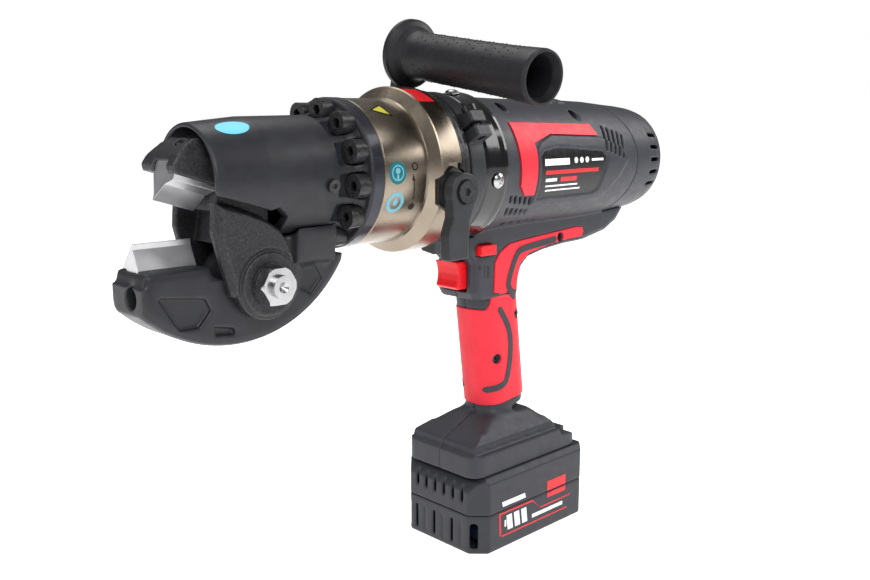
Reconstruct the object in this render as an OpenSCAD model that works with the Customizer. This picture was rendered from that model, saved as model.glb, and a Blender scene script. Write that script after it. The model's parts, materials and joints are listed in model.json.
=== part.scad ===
/* [Overall] */
// Height of the barrel's axis above the battery's underside
barrel_z = 252; // [245:1:260]
// Wall of the moulded plastic shells
wall = 2.5; // [2:0.1:3.5]

/* [Head] */
// Rear face of the head's round flange
flange_x = 138.9; // [137:0.1:140]
// Thickness of that flange
flange_t = 9.3; // [8:0.1:11]
// Radius of that flange
flange_r = 42.3; // [41.5:0.1:43]
// Pitch circle radius of the head screws
head_screw_ring_r = 35.6; // [35:0.1:36]
// Number of head screws
head_screws = 12; // [10:1:12]
// Front rim of the shroud round the upper jaw
shroud_front_x = 235; // [232:1:238]
// Thickness of the lower jaw
jaw_w = 32; // [30:0.5:32]
// Pivot of the upper jaw, along the barrel
pivot_x = 203; // [202:0.5:204]
// Height of that pivot
pivot_z = 198.8; // [198:0.1:200]
// Radius of the pivot pin
pivot_r = 9; // [8:0.5:10]
// Degrees that the upper jaw turns to close
jaw_travel = 21; // [18:0.5:21]
// Tilt of the upper blade when the jaw is open, in degrees
blade_tilt = 17.4; // [16:0.1:18]

/* [Hydraulics] */
// Radius of the cylinder's front stretch
cylinder_r = 42; // [41:0.5:42.3]
// Radius of the cylinder's wide rear stretch
cylinder_rear_r = 49; // [48:0.5:50]
// Bore radius of the cylinder
bore_r = 28; // [26:0.5:29]
// Radius of the piston rod
rod_r = 9; // [8:0.5:10]
// Height of the release valve's axis
valve_z = 242; // [240:0.5:244]
// Place of that axis along the barrel
valve_x = 93; // [92:0.5:94]

/* [Side handle] */
// Degrees that the handle and its clamp are turned round the barrel
handle_tilt = 8.8; // [0:0.1:12]
// Degrees that the handle leans forward from square to the barrel
handle_yaw = 3.3; // [0:0.1:4]
// Place of the clamp along the barrel
clamp_x = 70; // [69:0.5:71]
// Distance from the barrel's axis to the handle's axis
handle_h = 66.5; // [66:0.5:69]
// Radius of the handle's tube at its mouth
handle_r = 15.3; // [15:0.1:16.5]
// Radius of the handle's round flange
handle_flange_r = 20.8; // [20:0.1:21]
// Length of the handle from its flange to its mouth
handle_l = 113.4; // [110:0.1:116]

/* [Grip and foot] */
// Half length of the grip's section, along the barrel
grip_a = 20.5; // [19:0.5:22]
// Half width of the grip's section
grip_b = 16.5; // [15:0.5:18]
// Corner radius of the grip's section
grip_corner = 14.5; // [10:0.5:15]
// Lean of the grip, in degrees
grip_lean = 7.2; // [5:0.1:9]
// Half width of the neck and keel under the barrel
neck_w = 18; // [16:0.5:19]

/* [Battery] */
// Length of the battery
pack_l = 116; // [112:1:120]
// Width of the battery
pack_w = 75; // [72:1:78]
// Height of the seam between its two shells
pack_seam_z = 26.7; // [24:0.1:30]
// Cell diameter
cell_d = 18.2; // [18:0.1:18.4]

/* [Hidden] */
$fn = 96;
gap = 0.3;              // clearance between parts that move past each other
fit = 0.05;             // radial running fit of a shaft in its bore
head_x = flange_x + flange_t;
head_screw_head = [6.5, 8];     // radius and height
jaw_half = jaw_w / 2;
cheek_in = jaw_half + gap;
cheek_out = 25;
blade_rear = [231.6, 237.0];    // rear end of the upper cutting edge, open
upper_blade_l = 23;
lower_edge_z = 223.3;
lower_blade_x = [233.8, 265.4];
lower_seat_z = 210.4;
jaw_front_x = 269.6;
jaw_centre = [214.8, 246.3];     // centre of the crescent's round back
jaw_back_r = 79.2;
barrel_front_x = 43.9;
adapter_front_x = 62;
groove_front_x = 78;
cylinder_rear_x = 86.1;
seam_x = -102;                  // rearmost point of the rear cap's curved seam
seam_r = 64;
cap_rear_x = -143;
piston_x = [92, 103];
piston_travel = 20;
rod_tip_x = 196.5;
grip_top = [15.1, 178];         // point on the grip's centre line
grip_l = 92;
foot_z = 52;
sun_teeth = 12;
planet_teeth = 18;
ring_teeth = sun_teeth + 2 * planet_teeth;
gear_module = 0.9;
planet_orbit_r = gear_module * (sun_teeth + planet_teeth) / 2;
gear_x = [6, 16];
planets = 3;

// ---------------------------------------------------------------- helpers

// A box between two corners
module span(x, y, z) translate([x[0], y[0], z[0]]) cube([x[1] - x[0], y[1] - y[0], z[1] - z[0]]);

// A round bar along the barrel, from x[0] to x[1]
module along_x(r, x, y = 0, z = barrel_z)
  translate([x[0], y, z]) rotate([0, 90, 0]) cylinder(r = r, h = x[1] - x[0]);

// A round bar across the barrel, from y[0] to y[1]
module along_y(r, y, x, z) translate([x, y[0], z]) rotate([-90, 0, 0]) cylinder(r = r, h = y[1] - y[0]);

// An upright round bar
module along_z(r, z, x, y = 0) translate([x, y, z[0]]) cylinder(r = r, h = z[1] - z[0]);

// A side outline, in X and Z, made solid from y[0] to y[1]
module from_side(y) translate([0, y[1], 0]) rotate([90, 0, 0]) linear_extrude(y[1] - y[0]) children();

// A front outline, in Y and Z, made solid from x[0] to x[1]
module from_front(x) translate([x[0], 0, 0]) rotate([90, 0, 90]) linear_extrude(x[1] - x[0]) children();

// A profile of [radius, x] points turned round the barrel's axis
module turned(points, z = barrel_z)
  translate([0, 0, z]) rotate([0, 90, 0]) rotate_extrude() polygon(points);

// A rectangle with round corners, centred
module round_rect(w, h, r) {
  square([w - 2 * r, h], center = true);
  square([w, h - 2 * r], center = true);
  for (sx = [-1, 1], sy = [-1, 1]) translate([sx * (w / 2 - r), sy * (h / 2 - r)]) circle(r);
}

// A socket head screw along +Z, its head's top at z = 0 and a socket in it
module socket_screw(head, shank_r, length) {
  difference() {
    translate([0, 0, -head[1]]) cylinder(r = head[0], h = head[1]);
    translate([0, 0, -head[1] * 0.55]) cylinder(r = head[0] * 0.48, h = head[1], $fn = 6);
  }
  translate([0, 0, -head[1] - length]) cylinder(r = shank_r, h = length);
}

// A copy on the other side of the centre plane as well
module both_sides() {
  children();
  mirror([0, 1, 0]) children();
}

module at_head_screws() {
  for (i = [0:head_screws - 1])
    translate([head_x, 0, barrel_z])
      rotate([22.5 + i * 360 / head_screws, 0, 0])
        translate([0, head_screw_ring_r, 0]) rotate([0, 90, 0]) children();
}

// ---------------------------------------------------------------- head

module head_shroud() color("#26272b")
  difference() {
    union() {
      turned([[0, flange_x], [flange_r - 0.8, flange_x], [flange_r, flange_x + 0.8],
              [flange_r, head_x - 1.2], [flange_r - 1.2, head_x], [0, head_x]]);
      turned([[0, head_x], [38.5, head_x], [36.2, head_x + 2], [34.2, head_x + 5], [33, head_x + 10],
              [32.6, head_x + 18], [32, 205], [29.2, shroud_front_x - 1], [28.6, shroud_front_x],
              [0, shroud_front_x]]);
    }
    turned([[0, head_x + 2], [24, head_x + 2], [27.4, head_x + 6], [27.4, 200],
            [26.6, shroud_front_x + 1], [0, shroud_front_x + 1]]);
    along_x(12, [flange_x - 1, head_x + 3]);
    // the front of the shroud is open underneath, so that the jaw can swing
    from_side([-45, 45]) polygon([[192, 150], [192, 233], [199, 238.5], [203, 237], [224, 243.5],
                                  [233, 246], [236.5, 251], [240, 251], [240, 150]]);
    // screw holes with their spot faces
    at_head_screws() {
      translate([0, 0, -flange_t - 1]) cylinder(r = 4.2, h = flange_t + 2);
      translate([0, 0, 0.01]) cylinder(r = head_screw_head[0] + 0.7, h = 14);
    }
    // seat of the grease plug
    on_grease_seat() along_y(2.6, [26, 40], 0, 0);
  }

module on_grease_seat() translate([167.4, 0, barrel_z]) rotate([-7, 0, 0]) children();

module grease_plug() color("#3c3d40")
  on_grease_seat() difference() {
    union() {
      along_y(2.55, [28, 33.5], 0, 0);
      along_y(3.6, [33.2, 34.6], 0, 0);
    }
    along_y(1.3, [33.8, 36], 0, 0);
  }

module head_screws() color("#1d1d1f")
  at_head_screws() translate([0, 0, head_screw_head[1]]) socket_screw(head_screw_head, 4, 26);

// Side outline of the lower jaw
module lower_jaw_outline() {
  difference() {
    translate([head_x + 0.2, 150]) square([jaw_front_x - head_x - 0.2, 84]);
    // room for the heads of the lowest head screws
    translate([head_x, 209]) square([head_screw_head[1] + 1, 40]);
    // the front face steps back above its lip
    polygon([[268, 240], [268, 203.5], [280, 199], [280, 240]]);
    // the seat of the blade and the throat behind it
    translate([231, lower_seat_z]) square([60, 30]);
    difference() {
      polygon([[190, 222], [203, 217.1], [216, 197], [222, 202], [231, 205.5], [231, 240], [186, 240], [186, 222]]);
      translate([pivot_x, pivot_z]) circle(18.3);
      polygon([[180, 222], [190, 222], [203, 217.1], [203, 198], [180, 198]]);
    }
  }
}

// Section of the lower blade, in Y and height above its cutting edge
module lower_blade_section()
  polygon([[-0.15, 0], [-0.15, -3], [4.5, -12.9], [4.5, -19], [-7.5, -19], [-7.5, -12.9],
           [-11.6, -12.9]]);

module lower_blade_bar(x) from_front(x) translate([0, lower_edge_z]) lower_blade_section();

module lower_jaw() color("#232427")
  difference() {
    union() {
      // the crescent has a round back with bevelled edges
      intersection() {
        from_side([-jaw_half, jaw_half]) lower_jaw_outline();
        union() {
          translate([jaw_centre[0], 0, jaw_centre[1]]) rotate([90, 0, 0]) rotate_extrude($fn = 180)
            polygon([[0, -jaw_half], [jaw_back_r - 4, -jaw_half], [jaw_back_r - 1.2, -jaw_half + 1.2],
                     [jaw_back_r, -jaw_half + 4], [jaw_back_r, jaw_half - 4],
                     [jaw_back_r - 1.2, jaw_half - 1.2], [jaw_back_r - 4, jaw_half], [0, jaw_half]]);
        }
      }
      // saddle under the shroud
      from_front([head_x + 9, 183]) polygon([[-20, 206], [20, 206], [22, 222], [21, 234], [-21, 234], [-22, 222]]);
    }
    // the shroud sits on the saddle
    along_x(33.15, [head_x - 1, 300]);
    lower_blade_bar(lower_blade_x);
    along_y(12, [-jaw_half - 1, jaw_half + 1], pivot_x, pivot_z);
    // cast pockets in both faces
    both_sides() {
      from_side([jaw_half - 2.5, jaw_half + 1]) polygon([[262, 198], [236, 194.5], [233, 188], [240, 180], [251, 180]]);
      from_side([jaw_half - 2.5, jaw_half + 1]) polygon([[232, 179.5], [220, 177], [219.5, 173.5], [231, 174.5]]);
      from_side([jaw_half - 2, jaw_half + 1]) polygon([[177, 205], [168, 205], [163, 196], [171, 188], [178, 192]]);
    }
    // the blade screw goes in from the front
    along_x(5.6, [258, 280], 3.5, 197.5);
    along_x(3.1, [240, 260], 3.5, 197.5);
  }

module lower_blade() color("#c9ccd0") lower_blade_bar(lower_blade_x);

module lower_blade_screw() color("#2b2b2e")
  translate([264, 3.5, 197.5]) rotate([0, 90, 0]) socket_screw([5, 5], 3, 16);

// Moves its children onto the upper blade: X along the edge, Z away from it
module on_upper_blade()
  translate([blade_rear[0], 0, blade_rear[1]]) rotate([0, -blade_tilt, 0]) children();

module upper_blade_section()
  polygon([[0.15, 0], [8.5, 8.4], [15.5, 11.2], [15.5, 14], [9, 14], [9, 20], [-4.5, 20], [-4.5, 12.5],
           [0.15, 3]]);

module upper_blade() color("#d0d3d7")
  on_upper_blade() from_front([0, upper_blade_l]) upper_blade_section();

module cheek_outline()
  polygon([[231.6, 242.6], [232.9, 227.8], [229.7, 214.7], [226.2, 203.2], [224, 194], [203, 192], [186, 192],
           [184, 201.6], [186.4, 212.6], [190.5, 221.6], [194.4, 226.5], [203.1, 232.4], [214.8, 237.5],
           [223.3, 240.2]]);

// Side outline of the block between the cheeks
module upper_jaw_outline()
  polygon([[197, 222], [210, 219.8], [222, 219.3], [219, 234], [blade_rear[0] - 4.2, 237.5], [227.4, 250.4],
           [250, 257.5], [250.5, 261], [247, 266], [241, 271], [236, 273.6], [200, 273.6], [197, 268]]);

module upper_jaw() color("#202124")
  difference() {
    union() {
      intersection() {
        from_side([-jaw_half, jaw_half]) upper_jaw_outline();
        along_x(25.9, [190, 260]);
        from_front([190, 260]) polygon([[-jaw_half, 200], [jaw_half, 200], [jaw_half, 264], [11.5, 275],
                                        [-11.5, 275], [-jaw_half, 264]]);
      }
      intersection() {
        from_side([-jaw_half, jaw_half]) upper_jaw_outline();
        span([190, 240], [-20, 20], [215, barrel_z]);
      }
      both_sides() {
        // the cheek has a flat border and a raised face
        difference() {
          hull() {
            from_side([cheek_in, 20.5]) cheek_outline();
            from_side([20.5, 24.2]) translate([pivot_x + 4, 216]) scale(0.86) translate([-pivot_x - 4, -216])
              cheek_outline();
          }
          along_y(18.6, [15, 26], pivot_x, pivot_z);
        }
        difference() {
          along_y(18.9, [cheek_in, 23], pivot_x, pivot_z);
          along_y(14, [22.9, 26], pivot_x, pivot_z);
        }
        difference() {
          along_y(16.5, [18, cheek_out], pivot_x, pivot_z);
        }
        // the web that joins the cheek to the block
        from_side([jaw_half - 1, cheek_in + 2]) polygon([[199, 226], [214, 222.5], [216.5, 234], [228, 238],
          [228, 240], [214.8, 236], [203.1, 230.5]]);
      }
    }
    on_upper_blade() from_front([0, 40]) polygon([[-4.5, 10], [9, 10], [9, 20], [-4.5, 20]]);
    both_sides() along_y(pivot_r, [-1, 30], pivot_x, pivot_z);
    // socket for the blade screw
    on_upper_blade() translate([15, 4.5, 0]) {
      translate([0, 0, 26]) cylinder(r = 4.6, h = 20);
      translate([0, 0, 19]) cylinder(r = 2.6, h = 10);
    }
  }

module upper_blade_screw() color("#2b2b2e")
  on_upper_blade() translate([15, 4.5, 30]) socket_screw([4.2, 3.9], 2.5, 6);

module pivot_pin() color("#8e9196") {
  along_y(pivot_r, [-25, 25], pivot_x, pivot_z);
  along_y(14, [-31, -25], pivot_x, pivot_z);
  difference() {
    along_y(6, [25, 36.5], pivot_x, pivot_z);
    translate([pivot_x, 37.5, pivot_z]) rotate([90, 0, 0]) cylinder(r1 = 4, r2 = 0.5, h = 3.4);
  }
}

module pivot_nut() color("#d4d6d9")
  difference() {
    intersection() {
      translate([pivot_x, 27, pivot_z]) rotate([-90, 0, 0]) cylinder(r = 11, h = 6.5, $fn = 6);
      translate([pivot_x, 27, pivot_z]) rotate([-90, 0, 0]) cylinder(r1 = 14, r2 = 9.9, h = 6.5);
    }
    along_y(6, [20, 40], pivot_x, pivot_z);
  }

module pivot_washers() color("#b9bcc0")
  difference() {
    union() {
      along_y(11.5, [25, 26.1], pivot_x, pivot_z);
      along_y(10.8, [26.2, 27], pivot_x, pivot_z);
    }
    along_y(6, [20, 40], pivot_x, pivot_z);
  }

module pivot_bush() color("#b08d57")
  difference() {
    along_y(12, [-jaw_half, jaw_half], pivot_x, pivot_z);
    along_y(pivot_r + fit, [-20, 20], pivot_x, pivot_z);
  }

// ---------------------------------------------------------------- hydraulics

module cylinder_body() color("#a79f94")
  difference() {
    turned([[0, cylinder_rear_x], [cylinder_rear_r - 1, cylinder_rear_x], [cylinder_rear_r, cylinder_rear_x + 1],
            [cylinder_rear_r, 102], [48.4, 102.7], [cylinder_r + 0.4, 107], [cylinder_r, 108.5],
            [cylinder_r, flange_x - 0.5], [cylinder_r - 0.5, flange_x], [0, flange_x]]);
    along_x(bore_r + fit, [piston_x[0] - 1.5, flange_x + 1]);
    // flat for the release valve on the near side
    from_side([45.2, 60]) polygon([[80, 225], [80, 258], [97, 258], [106, 247], [106, 235], [98, 225]]);
    along_y(4, [bore_r - 4, 60], valve_x, valve_z);
    // oil port in the rear wall
    along_x(3, [80, 100], 0, barrel_z - 14);
    at_head_screws() translate([0, 0, -36]) cylinder(r = 4, h = 27);
  }

module gland_ring() color("#7b7d80")
  difference() {
    along_x(bore_r, [130, flange_x]);
    along_x(rod_r + fit, [120, 150]);
  }

module piston() color("#b4b6b9")
  difference() {
    along_x(bore_r, piston_x);
    along_x(rod_r, [98, 110]);
    // groove of the seal
    difference() {
      along_x(bore_r + 2, [piston_x[0] + 3, piston_x[0] + 7]);
      along_x(bore_r - 3, [piston_x[0], piston_x[0] + 10]);
    }
  }

module piston_seal() color("#1a1a1a")
  difference() {
    along_x(bore_r, [piston_x[0] + 3.1, piston_x[0] + 6.9]);
    along_x(bore_r - 3 + fit, [piston_x[0], piston_x[0] + 10]);
  }

module piston_rod() color("#c4c6c9")
  turned([[0, 98], [rod_r, 98], [rod_r, rod_tip_x - 4.8], [rod_r - 1.6, rod_tip_x - 3.2],
          [rod_r - 4.4, rod_tip_x - 1.7], [1.5, rod_tip_x - 0.3], [0, rod_tip_x]]);

module return_spring() color("#9a9c9f")
  difference() {
    along_x(15, [piston_x[1] + 0.1, 129.9]);
    along_x(11, [90, 140]);
  }

module spacer_rings() color("#6e7074")
  difference() {
    for (x = [groove_front_x, groove_front_x + 4.05])
      turned([[20, x], [46.6, x], [47.4, x + 0.8], [47.4, x + 3], [46.6, x + 3.9], [20, x + 3.9]]);
    along_x(3, [70, 90], 0, barrel_z - 14);
    along_y(14.1, [44.8, 60], valve_x, valve_z);
  }

module pump_body() color("#2c2d30")
  difference() {
    along_x(43, [46.5, groove_front_x]);
    along_x(20, [46, 70]);
    along_z(7 + fit, [barrel_z - 36, barrel_z + 1], 56);
    along_z(9, [barrel_z - 45, barrel_z - 35.9], 56);
    along_x(3, [60, 90], 0, barrel_z - 14);
  }

module pump_plunger() color("#c9cbce")
  along_z(7, [barrel_z - 34, barrel_z - 8.5], 56);

module oil_bladder() color("#1b1b1b")
  difference() {
    along_x(19.6, [groove_front_x + 0.1, cylinder_rear_x - 0.2]);
    along_x(16.5, [70, 84]);
    along_x(3, [80, 90], 0, barrel_z - 14);
  }

// ---------------------------------------------------------------- release valve

module valve_stem() color("#9fa1a4") {
  along_y(3.95, [bore_r + 2, 58], valve_x, valve_z);
}

module valve_hub() color("#1f2022")
  difference() {
    union() {
      translate([valve_x, 45.2, valve_z]) rotate([-90, 0, 0]) rotate([0, 0, 30]) cylinder(r = 14, h = 3.4, $fn = 6);
      along_y(11.5, [45.2, 50], valve_x, valve_z);
    }
    along_y(4, [40, 60], valve_x, valve_z);
  }

module lever_outline() {
  translate([valve_x, valve_z]) circle(10.8);
  polygon([[valve_x - 8, valve_z - 7], [valve_x - 3.4, valve_z - 17], [valve_x - 2.4, valve_z - 38],
           [valve_x + 12.6, valve_z - 38.6], [valve_x + 13.4, valve_z - 24], [valve_x + 9.6, valve_z - 14],
           [valve_x + 10, valve_z - 4]]);
}

module release_lever() color("#2a2b2e")
  difference() {
    from_side([50.3, 58]) lever_outline();
    along_y(4, [40, 60], valve_x, valve_z);
    along_y(7, [57, 60], valve_x, valve_z);
  }

module lever_screw() color("#3a3b3e")
  difference() {
    union() {
      along_y(6.2, [57.05, 59.2], valve_x, valve_z);
      along_y(6.2, [58, 59.2], valve_x, valve_z);
    }
    along_y(3.96, [50, 58], valve_x, valve_z);
    translate([valve_x, 58.2, valve_z]) rotate([-90, 0, 0]) cylinder(r = 2.4, h = 3, $fn = 6);
  }

// ---------------------------------------------------------------- side handle

// The clamp and the handle, drawn with the handle level, then turned round the barrel
module on_clamp() translate([clamp_x, 0, barrel_z]) rotate([-handle_tilt, 0, 0]) children();

// The handle's own axis: +Y from the arm's face
module on_handle() on_clamp() translate([0, arm_y[1], handle_h]) rotate([0, 0, -handle_yaw]) children();

clamp_w = 12;
clamp_bore_r = 43.3;
split_a = 40;                   // angle of the clamp's split above level
arm_y = [-34, -25.4];
module handle_clamp() color("#1f2023")
  difference() {
    union() {
      on_clamp() {
        rotate([0, 90, 0]) cylinder(r = 46.4, h = clamp_w, center = true);
        // the arm that carries the handle
        translate([-clamp_w / 2, arm_y[0] + 1.1, 22]) cube([clamp_w, arm_y[1] - arm_y[0] - 1.7, handle_h - 22]);
        // the ears at the split and the lug under the band
        rotate([split_a, 0, 0]) translate([-clamp_w / 2, 42, -8.5]) cube([clamp_w, 13, 17]);
        translate([-clamp_w / 2 + 1, 9, -50]) cube([clamp_w - 2, 12, 10]);
      }
      on_handle() along_y(11.8, [arm_y[0] - arm_y[1] + 0.6, 0], 0, 0);
    }
    on_clamp() {
      rotate([0, 90, 0]) cylinder(r = clamp_bore_r, h = clamp_w + 2, center = true);
      rotate([split_a, 0, 0]) translate([-10, 40, -1.2]) cube([20, 30, 2.4]);
      rotate([split_a, 0, 0]) translate([0, 50.5, -20]) cylinder(r = 2.6, h = 40);
    }
    on_handle() along_y(5, [-60, 10], 0, 0);
  }

module clamp_bolt() color("#55575b")
  on_clamp() rotate([split_a, 0, 0]) translate([0, 50.5, 12.52]) socket_screw([4.4, 4], 2.55, 15);

module handle_stud() color("#6b6d71")
  on_handle() {
    along_y(4.95, [-10, 30], 0, 0);
    translate([0, -12.2, 0]) rotate([-90, 0, 0]) cylinder(r = 8.4, h = 4.1, $fn = 6);
  }

module handle_grip() color("#232226")
  on_handle() translate([0, 0.1, 0]) rotate([-90, 0, 0]) difference() {
    rotate_extrude() polygon([[0, 0], [handle_flange_r - 1.2, 0], [handle_flange_r, 1.2], [handle_flange_r, 4],
      [handle_flange_r - 1.2, 5.4], [handle_r + 1.6, 6.8], [handle_r - 0.6, 11], [handle_r - 1.2, 16],
      [handle_r - 1.2, 60], [handle_r - 0.8, 95], [handle_r - 0.3, 106], [handle_r, handle_l],
      [handle_r - 0.5, handle_l + 2], [0, handle_l + 2]]);
    translate([0, 0, -1]) cylinder(r = 5, h = 32);
    translate([0, 0, 40]) cylinder(r = 11.6, h = 100);
    translate([0, 0, handle_l - 3]) cylinder(r1 = 11.6, r2 = 13.6, h = 5.1);
  }

// ---------------------------------------------------------------- drive

module adapter_ring() color("#3a3b3f")
  difference() {
    turned([[43.05, adapter_front_x], [44.2, adapter_front_x], [45.2, adapter_front_x - 2], [46, 50], [46.6, 46.4],
            [46.6, barrel_front_x + 0.6], [46, barrel_front_x], [30, barrel_front_x], [30, 46.4], [43.05, 46.4]]);
    at_adapter_screws() {
      translate([0, 0, -30]) cylinder(r = 2.5, h = 40);
      translate([0, 0, 0.65]) cylinder(r = 4.8, h = 10);
    }
  }

module at_adapter_screws() {
  for (a = [-8, 82, 172, 262])
    translate([52.5, 0, barrel_z]) rotate([a, 0, 0]) rotate([-90, 0, 0]) translate([0, 0, 45.4]) children();
}

module adapter_screws() color("#a6a8ab")
  at_adapter_screws() {
    difference() {
      intersection() {
        translate([0, 0, -3.2]) sphere(6.4);
        translate([0, 0, 0.7]) cylinder(r = 4.6, h = 6);
      }
      translate([0, 0, 1.6]) cylinder(r = 2, h = 4, $fn = 6);
    }
    translate([0, 0, -2.3]) cylinder(r = 2.45, h = 3.1);
  }

// Gear outline: straight-flanked teeth with room for backlash
module gear_outline(teeth, m, shrink) {
  r = m * teeth / 2;
  half_tooth = [[r - 1.15 * m, 0.86 * m - shrink], [r, 0.66 * m - shrink], [r + 0.8 * m, 0.3 * m - shrink / 2]];
  polygon([for (i = [0:teeth - 1], p = [[half_tooth[0][0], -half_tooth[0][1]], [half_tooth[1][0], -half_tooth[1][1]],
                                        [half_tooth[2][0], -half_tooth[2][1]], half_tooth[2], half_tooth[1],
                                        half_tooth[0]])
    let (a = i * 360 / teeth) [p[0] * cos(a) - p[1] * sin(a), p[0] * sin(a) + p[1] * cos(a)]]);
}

module gear(teeth, bore, x, turn = 0)
  translate([x[0], 0, 0]) rotate([0, 90, 0]) difference() {
    linear_extrude(x[1] - x[0]) rotate(turn) gear_outline(teeth, gear_module, 0.18);
    translate([0, 0, -1]) cylinder(r = bore, h = x[1] - x[0] + 2);
  }

module ring_gear() color("#8b8d90")
  translate([0, 0, barrel_z]) rotate([0, 90, 0]) translate([0, 0, gear_x[0] - 1]) linear_extrude(12) difference() {
    circle(27.5);
    polygon([for (i = [0:ring_teeth - 1], p = [[20.85, -0.98], [22.8, -0.52], [22.8, 0.52], [20.85, 0.98]])
      let (a = i * 360 / ring_teeth) [p[0] * cos(a) - p[1] * sin(a), p[0] * sin(a) + p[1] * cos(a)]]);
  }

module sun_gear() color("#9da0a4")
  translate([0, 0, barrel_z]) gear(sun_teeth, 2.5, gear_x, 180 / sun_teeth);

module planet(i)
  translate([0, 0, barrel_z]) rotate([i * 360 / planets, 0, 0]) translate([0, 0, planet_orbit_r])
    gear(planet_teeth, 3 + fit, gear_x);

module planet_gear_1() color("#b5a27a") planet(0);
module planet_gear_2() color("#b5a27a") planet(1);
module planet_gear_3() color("#b5a27a") planet(2);

module planet_carrier() color("#808388") {
  along_x(19, [gear_x[1] + 1, gear_x[1] + 6]);
  for (i = [0:planets - 1]) translate([0, 0, barrel_z]) rotate([i * 360 / planets, 0, 0])
    along_x(3, [gear_x[0], gear_x[1] + 2], 0, planet_orbit_r);
  along_x(8, [gear_x[1] + 6, 46]);
  // eccentric that works the pump
  along_x(5.5, [46, 62], 0, barrel_z + 2);
}

module drive_bearing() color("#a5a8ac")
  difference() {
    along_x(17, [31, 40]);
    along_x(8 + fit, [30, 41]);
    for (side = [30.9, 39.2]) difference() {
      along_x(14.4, [side, side + 0.9]);
      along_x(10.6, [side - 1, side + 2]);
    }
  }

motor_x = [-88, -24];
module motor_can() color("#6c6f73")
  difference() {
    along_x(24.5, motor_x);
    along_x(22.5, [motor_x[0] + 2, motor_x[1] + 1]);
    along_x(5.5, [motor_x[0] - 1, motor_x[0] + 3]);
    for (i = [0:5]) translate([0, 0, barrel_z]) rotate([i * 60, 0, 0])
      span([motor_x[0] + 5, motor_x[0] + 13], [-5, 5], [15, 30]);
  }

module motor_magnets() color("#3d3e41")
  intersection() {
    difference() {
      along_x(22.4, [-66, -30]);
      along_x(18.5, [-70, -20]);
    }
    both_sides() span([-70, -20], [5, 30], [barrel_z - 15, barrel_z + 15]);
  }

module armature() color("#8d5a3a")
  difference() {
    union() {
      along_x(17.4, [-62, -34]);
      along_x(14, [-68, -30]);
      along_x(9, [-80, -68]);
    }
    along_x(2.5, [-90, -20]);
    for (i = [0:9]) translate([0, 0, barrel_z]) rotate([i * 36, 0, 0]) span([-63, -33], [-1, 1], [12, 20]);
  }

module motor_shaft() color("#c2c4c8") along_x(2.5, [-92, gear_x[1]]);

module motor_bearings() color("#b7babd")
  difference() {
    union() {
      along_x(5.5, [motor_x[0] - 2, motor_x[0] + 2]);
      along_x(8, [-6, 0]);
    }
    along_x(2.5 + fit, [-100, 10]);
  }

module cooling_fan() color("#3b3d41")
  difference() {
    union() {
      along_x(6, [-22, -10]);
      along_x(21, [-22, -20.5]);
      for (i = [0:10]) translate([0, 0, barrel_z]) rotate([i * 360 / 11, 0, 0]) span([-21, -12], [-0.7, 0.7], [5, 21]);
    }
    along_x(2.5, [-30, 0]);
  }

// ---------------------------------------------------------------- housing

// Motor barrel with its round rear end, larger all round by grow
module barrel(grow, x1)
  turned([[0, cap_rear_x - grow], [28 + grow / 2, cap_rear_x - grow], [32.5 + grow, -141.5 - grow / 2],
          [36 + grow, -137.5], [37.6 + grow, -130], [38.8 + grow, -118], [39.8 + grow, -103], [41.6 + grow, -80],
          [42.4 + grow, -55], [42.6 + grow, -20], [43 + grow, 10], [43.6 + grow, 30], [45 + grow, x1], [0, x1]]);

// What lies ahead of the curved seam between the housing and the rear cap
module ahead_of_seam(extra = 0) {
  from_side([-60, 60]) {
    translate([seam_x + seam_r, barrel_z]) circle(seam_r + extra, $fn = 180);
    translate([seam_x + seam_r, 0]) square([200, 400]);
  }
}

// Side outline of the neck and the keel under the barrel, smaller all round by inset
module neck_outline(inset)
  polygon([[48.5 - inset, 232], [48.5 - inset, 196 + inset], [43 - inset, 190 + inset], [43 - inset, 171],
           [40 - inset, 166], [-0.6 + inset, 166], [-1.6 + inset, 176 + inset / 2], [-4.4 + inset, 183 + inset],
           [-11 + inset / 2, 188.9 + inset], [-28, 192.4 + inset], [-50, 194.6 + inset], [-74, 195.5 + inset],
           [-97, 199.8 + inset], [-111 + inset / 2, 206.3 + inset], [-119 + inset, 215 + inset / 2],
           [-121 + inset, 232]]);

// Keel and neck, with a step along their lower edges, smaller all round by inset
module neck(inset) {
  from_side([-neck_w + inset, neck_w - inset]) neck_outline(3.5 + inset);
  from_side([-neck_w + 3.5 + inset, neck_w - 3.5 - inset]) neck_outline(inset);
  from_side([-neck_w + 1 + inset, neck_w - 1 - inset]) neck_outline(1.4 + inset);
}

// Grip along its leaning axis, larger all round by grow
module grip(grow, l0, l1)
  translate([grip_top[0], 0, grip_top[1]]) rotate([0, grip_lean, 0]) translate([0, 0, -l1])
    linear_extrude(l1 - l0) round_rect(2 * (grip_a + grow), 2 * (grip_b + grow), grip_corner + grow);

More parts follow.
